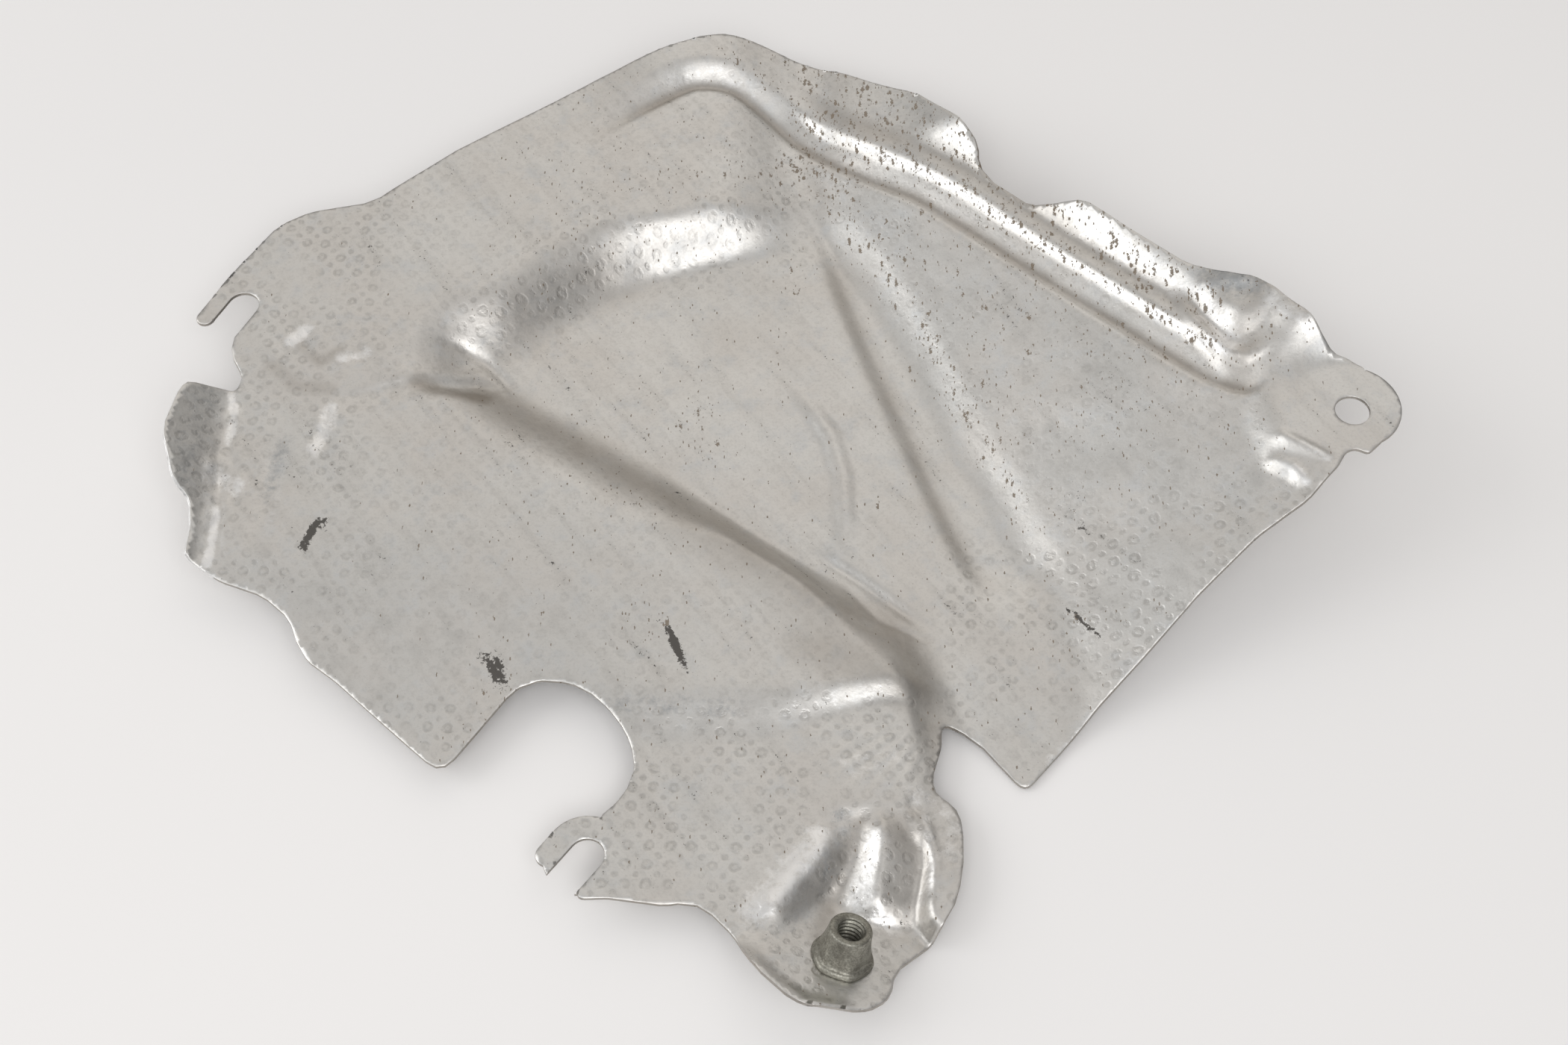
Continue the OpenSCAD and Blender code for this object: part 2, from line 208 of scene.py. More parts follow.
# Lines on the plan that the walls and folds follow, as tables of y at each x, or x at each y
cornerLine = [[-88, 30], [-79, 44], [-74, 47], [-67, 49], [-53, 61.5], [-44, 68.5],
              [-33, 73], [-18, 77], [0, 80.5], [14, 88], [30, 110]]
diagonalLine = [[-88, 46], [-76, 38], [-68, 31.5], [-43.5, 15], [-28.5, 4.5], [-12.5, -8.5],
                [4, -20.5], [16.5, -29], [26.5, -36], [30.5, -46], [34.5, -56], [40, -75]]
stepLine = [[-45, -56.5], [-24, -57], [0, -56], [12.5, -52.5], [22, -50], [30, -52.5]]
grooveLine = [[-60, 95], [-47, 104.5], [-32, 116], [-22, 122.5], [-13, 121], [-4, 113.5],
              [10, 100], [21, 91.5], [31, 84.5], [44, 72], [57, 58], [84, 29], [94, 18.8],
              [102, 13.8], [110, 17], [122, 24], [130, 29]]
channelLine = [[-40, 47], [-23, 42.5], [-3, 34.8], [28, 24], [49, 17], [65, 12], [77, 9.5],
               [93, 2]]
brightLine = [[-40, 64], [-15, 58], [5, 50], [20, 43], [42, 35], [58, 28], [70, 21.5],
              [82, 14], [100, 4]]
scoopWest = [[-120, -19], [-108, -8.5], [-101, -0.5], [-97, 2.6], [-91.5, 7.4], [-83, 11],
             [-70, 14]]
scoopEast = [[-125, 44], [-108, 34], [-101, 28], [-95.5, 29], [-91.4, 30], [-86.5, 30],
             [-82.7, 28.5], [-80, 25.5], [-70, 22]]
valleyLine = [[-106, 6.8], [-100.8, 8.5], [-96, 10.5], [-91.5, 13.2], [-87, 14.9], [-81, 15.4]]
humpLine = [[-104, 20.8], [-97.3, 18.6], [-93.3, 19], [-87.7, 20.2], [-81, 20]]
eastLine = [[-104, 27], [-95.5, 27.5], [-91.4, 28.2], [-86.5, 28.7], [-81, 26.5]]
foldLine = [[-100, 27], [-88, 29.5], [-77, 32.5], [-66, 32]]


def padHeight(x, y):
    s = sheet
    return (s["thickness"] + 0.1 + math.tan(math.radians(s["padRight"])) * (20 - x)
            + math.tan(math.radians(s["padBack"])) * (-100 - y))


def middleHeight(x, y):
    s = sheet
    dip = (s["sunkHigh"] - s["thickness"]) * bump(np.hypot(x - lowSpot[0], y - lowSpot[1]), 46)
    ends = soft(y + 22, 14) * (1 - soft(y - 84, 14))
    channel = soft(beside(channelLine, y, x), 6) * (1 - soft(beside(brightLine, y, x) + 2, 12))
    return (s["sunkHigh"] - dip - s["channelDeep"] * channel * ends
            - 2.2 * soft(-50 - y, 40) * soft(x - 40, 20))


def rightRiseAt(x, y):
    return math.tan(math.radians(sheet["rightRise"])) * softPlus(beside(brightLine, y, x) + 3, 5)


def lobeHeight(x, y):
    valley, hump, east = along(valleyLine, y), along(humpLine, y), along(eastLine, y)
    rise = np.minimum((x - valley) / (hump - valley), (east - x) / (east - hump))
    rise = 1 - softPlus(1 - softPlus(rise, 0.1), 0.1)
    rise = rise * soft(y + 100, 7) * soft(-80 - y, 8)
    scoop = sheet["thickness"] + 0.3 + 0.22 * (y + 101) + sheet["humpHigh"] * rise
    inside = np.minimum(-beside(scoopEast, y, x) - 2.5, -77.5 - y - 2.5)
    inside = soft(inside + 2, 4.5) * soft(beside(scoopWest, y, x), 12)
    low = softMax(padHeight(x, y), scoop, 0.8)
    lobe = sheet["lobeHigh"] + 0.8 * soft(-y - 95, 30) * soft(-x, 20)
    return mix(lobe - 1.5 * soft(x - 28, 8), low, inside)


def rimHeight(x, y):
    s = sheet
    g = beside(grooveLine, x, y)
    fade = soft(x + 40, 24) * (1 - soft(x - 106, 10))
    lip = s["lipRise"] * (soft(x - 44, 30) - 0.4 * soft(x - 84, 20))
    whole = s["grooveDeep"] + s["ridgeHigh"]
    narrow = (s["crestFoot"] * soft(g - 4, 6) + s["crestHigh"] * soft(g - 7.2, 1.9)
              - s["crestFall"] * soft(g - 10.9, 5.4))
    broad = (whole + s["ridgeFall"]) * soft(g - 5, 8)
    return (fade * (mix(broad, narrow, soft(x - 4, 16)) - s["grooveDeep"] * soft(g, 2.6))
            + 2.6 * bump(x - 12, 20) * soft(g - 10, 10) + lip * soft(g - 15.5, 9))


def baseHeight(x, y):
    s = sheet
    panel = s["panelHigh"] - 3.9 * soft(-y - 36, 56) * soft(-x - 44, 56) + 0.8 * soft(y + 20, 60)
    panel = panel - 2.4 * bump(np.hypot(x + 71, y - 41), 10)
    mid = middleHeight(x, y) + rightRiseAt(x, y)
    stepRun = s["stepRun"] + 7 * (1 - soft(x - 2, 26))
    above = soft(beside(stepLine, x, y), stepRun) * soft(x + 58, 24) + 1 - soft(x + 58, 24)
    lowLeft = mix(lobeHeight(x, y), panel, above)
    wallRun = s["diagonalRun"] + 8 * soft(x - 12, 22) + 12 * soft(-24 - x, 30)
    back = 0.35 * (wallRun - s["diagonalRun"])
    raised = mix(lowLeft, mid, soft(beside(diagonalLine, x, y) + back, wallRun))
    whole = mix(raised, s["bandHigh"] + rightRiseAt(x, y) * 0.5,
                soft(beside(cornerLine, x, y), s["cornerRun"] + 4 * soft(-34 - x, 12))
                * (1 - soft(x + 3, 30)))
    fold = (-0.5 * bump(beside(foldLine, x, y) + 2, 5) * soft(x + 92, 20)
            * (1 - soft(x + 66, 8)))
    flap = (math.tan(math.radians(s["flapRise"])) * softPlus(s["flapBend"] - x, 2.5)
            * (1 - soft(y - 33, 8)))
    nearTab = 1 - soft(np.hypot(x - tabSpot[0], y - tabSpot[1]) - 18, 12)
    return mix(whole + rimHeight(x, y) + fold + flap, tabHole[2], nearTab)


# Path, height, half width and the share of the path over which each end fades
creases = [
    ([(1.7, 34.2), (6.1, 27.7), (10.8, 18.5), (13.4, 7.6), (13.6, -2.7), (13.9, -15.8)],
     0.9, 3.6, 0.25),
    ([(6, -12.5), (18, -21.5), (31, -33)], -0.7, 2.2, 0.2),
    ([(-82.5, 43.8), (-75.3, 42.9), (-70.2, 40.7), (-65.9, 35.6), (-61, 29)], -0.6, 2.2, 0.2),
    ([(-112.2, 15), (-113.7, 7), (-114.5, -5), (-117, -18)], -0.5, 3.5, 0.25),
    ([(13.5, -22), (20.5, -31.5), (26.5, -34), (33, -37)], -0.5, 1.8, 0.25),
    ([(88, 45), (92, 36), (99.5, 20)], 0.9, 2.4, 0.2),
    ([(91, 42), (100, 43), (109, 39)], 0.7, 3.5, 0.3),
    ([(106, 3), (111, -0.8), (118, -5.6)], 0.8, 2.4, 0.2),
    ([(104, -2.5), (109, -6), (112.5, -11)], 0.8, 2.4, 0.2),
    ([(24, -76), (26.5, -80), (27, -85)], 0.5, 1.6, 0.2),
    ([(11, -83), (4.3, -92.6), (-1.1, -99.2), (-6, -104)], 1.8, 5.6, 0.2),
    ([(28.6, -79), (29.8, -84.7), (30.5, -90), (29, -95)], 0.6, 2.0, 0.2),
]
# Place, height and half width
dents = [((100, 33), 1.2, 8), ((112, 31), 0.8, 5), ((26, -77.5), -0.8, 2.6), ((-127, 3), -0.5, 4),
         ((-98, 37), -0.4, 4), ((-105, 14), -0.4, 4)]
edgeLine = [(-9, -107.5), (-5.9, -111.4), (-1.4, -116.4), (4.6, -120.6), (14, -121.6)]
overlapLine = [(-106, 25.5), (-102.2, 26.1), (-97.3, 26.6), (-92.5, 28.2), (-88.8, 29.5),
               (-84.6, 31.1), (-77.8, 32.5), (-71.5, 34.6), (-65, 32)]
unevenA = rng.bit_generator.state


def sheetHeight(x, y):
    rng.bit_generator.state = unevenA
    z = baseHeight(x, y)
    calm = ((1 - bump(np.hypot(x - tabSpot[0], y - tabSpot[1]), 22))
            * (1 - bump(np.hypot(x - nutSpot[0], y - nutSpot[1]), 14)))
    z = z + (sheet["waviness"] * waves(x, y, 19) + sheet["smallWaves"] * waves(x, y, 5)) * calm
    for path, high, half, end in creases:
        z = z + ridgeOn(path, x, y, high, half, end)
    for (sx, sy), high, half in dents:
        z = z + high * bump(np.hypot(x - sx, y - sy), half)
    # Fold pressed over itself, steep on its far side
    d, frac = nearPath(overlapLine, x, y)
    deep = (0.35 + 1.3 * soft(frac - 0.62, 0.4)) * taper(frac, 0.16)
    z = z - deep * soft(-d + 0.1, 1.0 + 2.5 * soft(frac - 0.5, 0.4)) * soft(d + 4, 6)
    # Ripples that fan out from the notch, and the hammered look of the left bend
    turn = np.arctan2(y + 52, x - 34)
    z = z + sheet["ripples"] * np.sin(turn * 40) * patchOn((20, -67, 12, 8), x, y, 20)
    bend = bump(x + 125, 5) * soft(y + 22, 6) * (1 - soft(y - 27, 6))
    bend = bend + patchOn((-126, 3, 7, 7), x, y) + 0.6 * patchOn((-113, 40, 9, 5), x, y, 50)
    bend = bend + 0.6 * patchOn((-104, 16, 4, 9), x, y)
    z = z + sheet["hammered"] * waves(x, y, 4.2) * np.clip(bend, 0, 1)
    # Turned-up edge beside the nut's pad
    d, frac = nearPath(edgeLine, x, y)
    z = z + sheet["turnedEdge"] * soft(-d, 3) * (np.abs(d) < 5) * taper(frac, 0.25)
    return z


def roundedOutline(corners):
    out = []
    n = len(corners)
    for i, (px, py, r) in enumerate(corners):
        at = np.array([px, py], float)
        a = np.array(corners[i - 1][:2], float) - at
        b = np.array(corners[(i + 1) % n][:2], float) - at
        la, lb = np.hypot(*a), np.hypot(*b)
        ua, ub = a / la, b / lb
        half = math.acos(max(-1, min(1, float(ua @ ub)))) / 2
        cut = min(0.49 * min(la, lb), r / math.tan(half))
        steps = 0 if r < 0.3 else max(1, round((90 - math.degrees(half)) / 14))
        for k in range(steps + 1):
            t = k / steps if steps else 0.5
            out.append(at + ua * cut * (1 - t) ** 2 + ub * cut * t * t)
    return np.array(out)


def arc(cx, cy, r, a0=0.0, a1=360.0, gap=0.6):
    n = max(8, int(abs(a1 - a0) * math.pi / 180 * r / gap))
    a = np.radians(np.linspace(a0, a1, n, endpoint=abs(a1 - a0) < 359))
    return np.c_[cx + r * np.cos(a), cy + r * np.sin(a)]


def resample(loop, gap):
    out = []
    for a, b in zip(loop, np.roll(loop, -1, axis=0)):
        n = max(1, int(round(np.hypot(*(b - a)) / gap)))
        out += [a + (b - a) * k / n for k in range(n)]
    return np.array(out)


def placed(points, spot, turn):
    c, s = math.cos(math.radians(turn)), math.sin(math.radians(turn))
    return np.array(points) @ np.array([[c, s], [-s, c]]) + np.array(spot)


def inLoop(loop, x, y):
    inside = np.zeros(x.shape, bool)
    for (ax, ay), (bx, by) in zip(loop, np.roll(loop, -1, axis=0)):
        if ay != by:
            cross = (ay > y) != (by > y)
            inside ^= cross & (x < (bx - ax) * (y - ay) / (by - ay) + ax)
    return inside


def cutShapes():
    s = sheet
    w = s["slotWidth"] / 2
    adds = [roundedOutline(blank), arc(tabSpot[0], tabSpot[1] + s["tabOffset"], s["tabRadius"])]
    cuts = []
    for spot, (f, length, turn) in ((leftSlot, s["leftFinger"]), (bottomSlot, s["bottomFinger"])):
        adds.append(arc(*spot, w + f))
        tip = length - f / 2
        finger = np.vstack([[(0, -w)], [(0, -w - f)], arc(tip, -w - f / 2, f / 2, -90, 90)])
        adds.append(placed(finger, spot, turn))
        slot = np.vstack([arc(0, 0, w, 90, 270), [(14, -w)], [(14, w)]])
        cuts.append(placed(slot, spot, turn))
    cuts.append(arc(*tabSpot, s["tabHole"] / 2))
    cuts.append(arc(*nutSpot, s["nutHole"] / 2))
    return adds, cuts


def inSheet(adds, cuts, x, y):
    inside = np.zeros(x.shape, bool)
    for loop in adds:
        inside |= inLoop(loop, x, y)
    for loop in cuts:
        inside &= ~inLoop(loop, x, y)
    return inside


def edgeGap(loops, x, y, reach):  # distance from the nearest outline, up to a reach
    best = np.full(x.shape, reach)
    for loop in loops:
        for (ax, ay), (bx, by) in zip(loop, np.roll(loop, -1, axis=0)):
            near = ((x > min(ax, bx) - reach) & (x < max(ax, bx) + reach)
                    & (y > min(ay, by) - reach) & (y < max(ay, by) + reach))
            if not near.any():
                continue
            ux, uy = bx - ax, by - ay
            size = max(ux * ux + uy * uy, 1e-9)
            px, py = x[near] - ax, y[near] - ay
            t = np.clip((px * ux + py * uy) / size, 0, 1)
            best[near] = np.minimum(best[near], np.hypot(px - t * ux, py - t * uy))
    return best


def meshPlan(adds, cuts, spacing):  # triangles of the blank, seen from above
    loops = [resample(loop, sheet["edgeSpacing"]) for loop in adds + cuts]
    corners, edges = [], []
    for loop in loops:
        start = len(corners)
        corners += [tuple(p) for p in loop]
        edges += [(start + k, start + (k + 1) % len(loop)) for k in range(len(loop))]
    gx = np.arange(-142, 138, spacing)
    gy = np.arange(-124, 143, spacing * 0.866)
    x, y = np.meshgrid(gx, gy)
    x = x + np.where(np.arange(len(gy)) % 2, spacing / 2, 0)[:, None]
    x, y = x.ravel(), y.ravel()
    keep = inSheet(adds, cuts, x, y)
    x, y = x[keep], y[keep]
    free = edgeGap(loops, x, y, 2.0) > spacing * 0.45
    points = corners + list(zip(x[free].tolist(), y[free].tolist()))
    flat, _, tris, _, _, _ = delaunay_2d_cdt(points, edges, [], 0, 1e-5)
    flat = np.array([tuple(p) for p in flat])
    tris = np.array([t for t in tris if len(t) == 3])
    mid = flat[tris].mean(axis=1)
    tris = tris[inSheet(adds, cuts, mid[:, 0], mid[:, 1])]
    a, b, c = flat[tris[:, 0]], flat[tris[:, 1]], flat[tris[:, 2]]
    turn = (b[:, 0] - a[:, 0]) * (c[:, 1] - a[:, 1]) - (b[:, 1] - a[:, 1]) * (c[:, 0] - a[:, 0])
    tris = tris[np.abs(turn) > 1e-7]
    turn = turn[np.abs(turn) > 1e-7]
    tris[turn < 0] = tris[turn < 0][:, ::-1]
    used = np.unique(tris)
    index = np.full(len(flat), -1)
    index[used] = np.arange(len(used))
    return flat[used], index[tris]


def openEdges(tris):
    seen = {}
    for a, b, c in tris.tolist():
        for e in ((a, b), (b, c), (c, a)):
            seen[e] = True
    return [e for e in seen if (e[1], e[0]) not in seen]


def normalAt(x, y, e=0.25):
    gx = (sheetHeight(x + e, y) - sheetHeight(x - e, y)) / (2 * e)
    gy = (sheetHeight(x, y + e) - sheetHeight(x, y - e)) / (2 * e)
    n = np.stack([-gx, -gy, np.ones_like(gx)], axis=1)
    return n / np.linalg.norm(n, axis=1)[:, None]


def makeMesh(name, points, faces, smooth=True):
    mesh = bpy.data.meshes.new(name)
    mesh.from_pydata((np.asarray(points)).tolist(), [], [list(map(int, f)) for f in faces])
    mesh.update()
    mesh.polygons.foreach_set("use_smooth", [smooth] * len(mesh.polygons))
    piece = bpy.data.objects.new(name, mesh)
    bpy.context.scene.collection.objects.link(piece)
    return piece


def toFrame(points):
    return (np.asarray(points) - tabHole) * 0.001


def makeSheet():
    s = sheet
    adds, cuts = cutShapes()
    top, topTris = meshPlan(adds, cuts, s["topSpacing"])
    back, backTris = meshPlan(adds, cuts, s["backSpacing"])
    t = s["thickness"]
    x, y = top[:, 0], top[:, 1]
    topN = normalAt(x, y)
    topPts = np.c_[x, y, sheetHeight(x, y)]
    bx, by = back[:, 0], back[:, 1]
    backN = normalAt(bx, by)
    backPts = np.c_[bx, by, sheetHeight(bx, by)] - backN * t

    # Rounded cut edge with the joint line of the two skins
    rim = openEdges(topTris)
    nextOf = {a: b for a, b in rim}
    ids = np.array([a for a, _ in rim])
    spot = {a: k for k, a in enumerate(ids.tolist())}
    prevOf = {b: a for a, b in rim}
    ahead = top[[nextOf[a] for a in ids.tolist()]] - top[[prevOf.get(a, a) for a in ids.tolist()]]
    out = np.c_[ahead[:, 1], -ahead[:, 0]]
    out /= np.maximum(np.hypot(out[:, 0], out[:, 1]), 1e-9)[:, None]
    out3 = np.c_[out, np.zeros(len(out))]
    rows = [(0.0, 0.0), (0.1, 0.06), (0.28, 0.1), (0.44, 0.07), (0.5, -0.05), (0.56, 0.07),
            (0.72, 0.1), (0.9, 0.06), (1.0, 0.0)]
    rings = [topPts[ids] - topN[ids] * t * deep + out3 * (side - s["edgeRoll"])
             for deep, side in rows]
    topPts[ids] = rings[0]
    count = len(ids)
    start = len(topPts)
    pts = [topPts] + rings[1:]
    faces = topTris.tolist()
    level = [ids.tolist()] + [[start + r * count + k for k in range(count)]
                              for r in range(len(rows) - 1)]
    for a, b in rim:
        ka, kb = spot[a], spot[b]
        for upper, lower in zip(level[:-1], level[1:]):
            faces.append([upper[kb], upper[ka], lower[ka], lower[kb]])
    # The back meets the last ring: its open edge is moved onto it
    backRim = openEdges(backTris)
    lookup = {tuple(np.round(top[a], 4)): k for k, a in enumerate(ids.tolist())}
    offset = start + (len(rows) - 1) * count
    remap = np.arange(len(backPts)) + offset
    for a, _ in backRim:
        remap[a] = level[-1][lookup[tuple(np.round(back[a], 4))]]
    faces += [[int(remap[c]), int(remap[b]), int(remap[a])] for a, b, c in backTris]
    pts.append(backPts)
    print("sheet:", len(topTris), "top and", len(backTris), "back triangles")
    inBox = np.clip(toFrame(np.vstack(pts)), cadBox[0], cadBox[1])
    piece = makeMesh("formedSheet", inBox, faces)
    return piece, (start, offset)


print("forming the sheet")
formedSheet, edgePoints = makeSheet()
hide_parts("shield_sheet")
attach(formedSheet, "root")


class Value:  # a shader socket that can be used in sums
    def __init__(self, shader, socket):
        self.shader, self.socket = shader, socket

    def join(self, kind, a, b=None, clamp=False):
        return self.shader.node("ShaderNodeMath", {"operation": kind, "use_clamp": clamp},
                                {0: a} if b is None else {0: a, 1: b})

    def __add__(self, other): return self.join("ADD", self, other)
    def __radd__(self, other): return self.join("ADD", other, self)
    def __sub__(self, other): return self.join("SUBTRACT", self, other)
    def __rsub__(self, other): return self.join("SUBTRACT", other, self)
    def __mul__(self, other): return self.join("MULTIPLY", self, other)
    def __rmul__(self, other): return self.join("MULTIPLY", other, self)
    def __truediv__(self, other): return self.join("DIVIDE", self, other)
    def __rtruediv__(self, other): return self.join("DIVIDE", other, self)
    def __pow__(self, other): return self.join("POWER", self, other)
    def __neg__(self): return self.join("MULTIPLY", self, -1)
    def sibling(self, out): return Value(self.shader, self.socket.node.outputs[out])
    def clamped(self): return self.join("ADD", self, 0, clamp=True)


class Shader:  # the nodes of a material or of the world
    def __init__(self, owner):
        self.owner = owner
        owner.use_nodes = True
        self.nodes = owner.node_tree.nodes
        self.links = owner.node_tree.links
        self.nodes.clear()

    def node(self, kind, settings=None, inputs=None, out=0):
        made = self.nodes.new(kind)
        for key, setting in (settings or {}).items():
            setattr(made, key, setting)
        for key, given in (inputs or {}).items():
            if isinstance(given, Value):
                self.links.new(given.socket, made.inputs[key])
            else:
                made.inputs[key].default_value = given
        return Value(self, made.outputs[out]) if len(made.outputs) else None

    def ranged(self, value, low, high, to=(0.0, 1.0)):
        return self.node("ShaderNodeMapRange", {"interpolation_type": "SMOOTHSTEP"},
                         {0: value, 1: low, 2: high, 3: to[0], 4: to[1]})

    def noise(self, where, scale, detail=2.0, rough=0.5, stretch=None):
        if stretch:
            where = self.node("ShaderNodeMapping", {}, {0: where, 3: stretch})
        return self.node("ShaderNodeTexNoise", {}, {"Vector": where, "Scale": scale,
                                                    "Detail": detail, "Roughness": rough})

    def specks(self, where, scale, share, ragged):  # flakes in a share of the cells
        cell = self.node("ShaderNodeTexVoronoi", {}, {"Vector": where, "Scale": scale})
        chance = self.node("ShaderNodeSeparateXYZ", {}, {0: cell.sibling(1)})
        pick = (chance - 1 + share) / share
        size = self.ranged(pick, 0.0, 0.6, (-0.25, 0.42))
        return self.ranged(size - cell - (ragged - 0.5) * 2.6, 0.0, 0.12)

    def blend(self, factor, a, b):
        return self.node("ShaderNodeMix", {"data_type": "RGBA"}, {0: factor, 6: a, 7: b}, out=2)

    def attribute(self, name):
        return self.node("ShaderNodeAttribute", {"attribute_name": name}, out=2)

    def finish(self, **sockets):
        surface = self.node("ShaderNodeBsdfPrincipled", {}, sockets)
        self.node("ShaderNodeOutputMaterial", {}, {0: surface})
        return self.owner


finish = {
    "metal": (0.76, 0.75, 0.725, 1),
    "warmer": (0.74, 0.715, 0.68, 1),
    "bluer": (0.66, 0.675, 0.685, 1),
    "darker": (0.36, 0.35, 0.33, 1),
    # colour of the painted shade
    "paintedShade": (0.36, 0.325, 0.285, 1),
    "dirt": (0.155, 0.11, 0.065, 1),
    "smear": (0.085, 0.078, 0.07, 1),
    # colour of the painted highlights
    "bright": (0.95, 0.945, 0.935, 1),
    # colour of the painted dull shade
    "dullShade": (0.44, 0.45, 0.455, 1),
    "roughness": (0.35, 0.44),
    "pitch": 0.0044,  # of the embossing, in metres, and its turn in degrees
    "turn": 2.0,
    "embossed": -0.00005,  # heights of the bump, in metres
    "grained": 0.00002,
    "mottled": 0.00005,
    "flaked": 0.00003,
}


def sheetFinish():
    f = finish
    s = Shader(bpy.data.materials.new("embossedSheet"))
    spot = s.node("ShaderNodeTexCoord", {}, {}, out=3)
    wander = s.node("ShaderNodeTexNoise", {}, {"Vector": spot, "Scale": 260, "Detail": 2}, out=1)
    wander = s.node("ShaderNodeVectorMath", {"operation": "MULTIPLY_ADD"},
                    {0: wander, 1: (0.0013,) * 3, 2: spot})
    turned = s.node("ShaderNodeMapping", {},
                    {0: wander, 2: (0, 0, math.radians(f["turn"])), 3: (1 / f["pitch"],) * 3})
    u = s.node("ShaderNodeSeparateXYZ", {}, {0: turned})
    v = u.sibling(1)

    def cell(shift):
        a = u.join("FRACT", u + shift) - 0.5
        b = v.join("FRACT", v + shift) - 0.5
        return (a * a + b * b) ** 0.5

    big, small = cell(0.0), cell(0.5)
    worn = s.ranged(s.noise(spot, 90, 3, 0.6), 0.3, 0.62)
    worn = worn * s.ranged(s.noise(spot, 700, 3, 0.6), 0.25, 0.6)
    depth = s.attribute("embossing") * worn
    ring = s.ranged(big.join("ABSOLUTE", big - 0.2), 0.14, 0.02) * depth
    ring = ring + s.ranged(big, 0.2, 0.1) * depth * 0.4
    dot = s.ranged(small, 0.22, 0.10) * depth
    cloud = s.noise(spot, 38, 4, 0.6)
    mottle = s.noise(spot, 170, 4, 0.65)
    fine = s.noise(spot, 1500, 3, 0.6)
    drag = s.noise(spot, 420, 3, 0.6, stretch=(1, 0.14, 1))
    ragged = s.noise(spot, 1100, 4, 0.75)
    slanted = s.node("ShaderNodeMapping", {},
                     {0: spot, 2: (0, 0, math.radians(28)), 3: (1.75, 0.62, 1)})
    level = s.attribute("dirt")
    dirt = s.specks(slanted, 1700, level * 0.18 + 0.003, ragged)
    dirt = dirt + s.specks(slanted, 620, s.ranged(level, 0.4, 1.3) * 0.6 + 0.0005, ragged)
    dirt = dirt.clamped()
    streak = s.noise(s.node("ShaderNodeMapping", {}, {0: spot, 2: (0, 0, math.radians(-35))}),
                     330, 4, 0.6, stretch=(1, 0.1, 1))
    # Painted shade: browner and darker where walls turn from the light, in grooves, the channel,
    # valleys and folds, and along the cut edge
    paintedShade = s.attribute("paintedShade") * s.ranged(s.noise(spot, 130, 4, 0.65), 0.1, 0.6, (0.55, 1.0))
    stain = s.ranged(s.attribute("stain") + (ragged - 0.5) * 2.4 + (streak - 0.5) * 1.6, 0.5, 0.62)
    colour = s.blend(s.ranged(cloud, 0.35, 0.68), f["metal"], f["warmer"])
    colour = s.blend(s.ranged(mottle, 0.48, 0.75) * 0.55, colour, f["bluer"])
    # The rings and dots are darkened: painted shade in the embossed dimples. The noises add grain,
    # streaks and tone that differ at random.
    shade = ring * 0.38 + dot * 0.36 + s.ranged(fine, 0.45, 0.8) * 0.22
    shade = shade + s.ranged(streak, 0.45, 0.75) * 0.16 + s.ranged(mottle, 0.5, 0.3) * 0.08
    colour = s.blend(shade.clamped(), colour, f["darker"])
    broken = (s.noise(spot, 420, 4, 0.75) - 0.5) * 1.7
    # Painted highlight: lighter colour where crests, cut edges and facets face the light
    paintedHighlight = s.ranged(s.attribute("paintedHighlight") * 1.1 + broken, 0.42, 1.1)
    # Painted shade: darker, bluer grey on walls and facets turned from the light
    dullShadeMask = s.ranged(s.attribute("dullShade") * 1.1 + broken, 0.35, 1.1)
    colour = s.blend(paintedHighlight, colour, f["bright"])
    colour = s.blend(dullShadeMask, colour, f["dullShade"])
    colour = s.blend(paintedShade.clamped(), colour, f["paintedShade"])
    colour = s.blend((dirt * 0.85).clamped(), colour, f["dirt"])
    colour = s.blend(stain, colour, f["smear"])
    rough = s.ranged(cloud, 0.3, 0.7, f["roughness"]) + (mottle - 0.5) * 0.25 + (fine - 0.5) * 0.1
    rough = rough - paintedHighlight * 0.06 + dullShadeMask * 0.05
    rough = (rough + dirt * 0.3 + stain * 0.2).clamped()
    high = ((ring + dot) * f["embossed"] + fine * f["grained"] + drag * f["grained"]
            + mottle * f["mottled"] + dirt * f["flaked"])
    normal = s.node("ShaderNodeBump", {}, {"Height": high, "Strength": 1.0, "Distance": 1.0})
    metal = 1 - (dirt + stain * 0.9).clamped()
    return s.finish(**{"Base Color": colour, "Metallic": metal, "Roughness": rough,
                       "Normal": normal})


def setAttribute(piece, name, values):
    layer = piece.data.attributes.new(name, "FLOAT", "POINT")
    layer.data.foreach_set("value", np.asarray(values, np.float32))


# Patches with more flakes: x, y, half width, half height, amount
dirtSpots = [((-20, 15, 9, 7), 0.6), ((-22, 24, 6, 8), 0.6), ((-36, -3, 8, 5), 0.6),
             ((-50, 4, 4, 3), 0.7), ((2, 66, 4, 12), 0.6), ((-28, -36, 8, 7), 0.5),
             ((-60, -50, 8, 5), 0.5), ((62, -34, 10, 8), 0.35), ((4, 96, 16, 12), 0.3)]
# Dark smears: path and half width
smears = [
    ([(-106, -17.2), (-104.7, -14.5), (-103.6, -11), (-102.6, -9.2), (-101.2, -8.7),
      (-100.6, -11)], 0.9),
    ([(-64.3, -42), (-61.9, -43.1), (-60.3, -46.5), (-60, -49.5)], 1.7),
    ([(60, -26), (64, -32), (69, -38)], 0.5),
    ([(-26, -34), (-24, -38), (-20.5, -47)], 0.9),
]
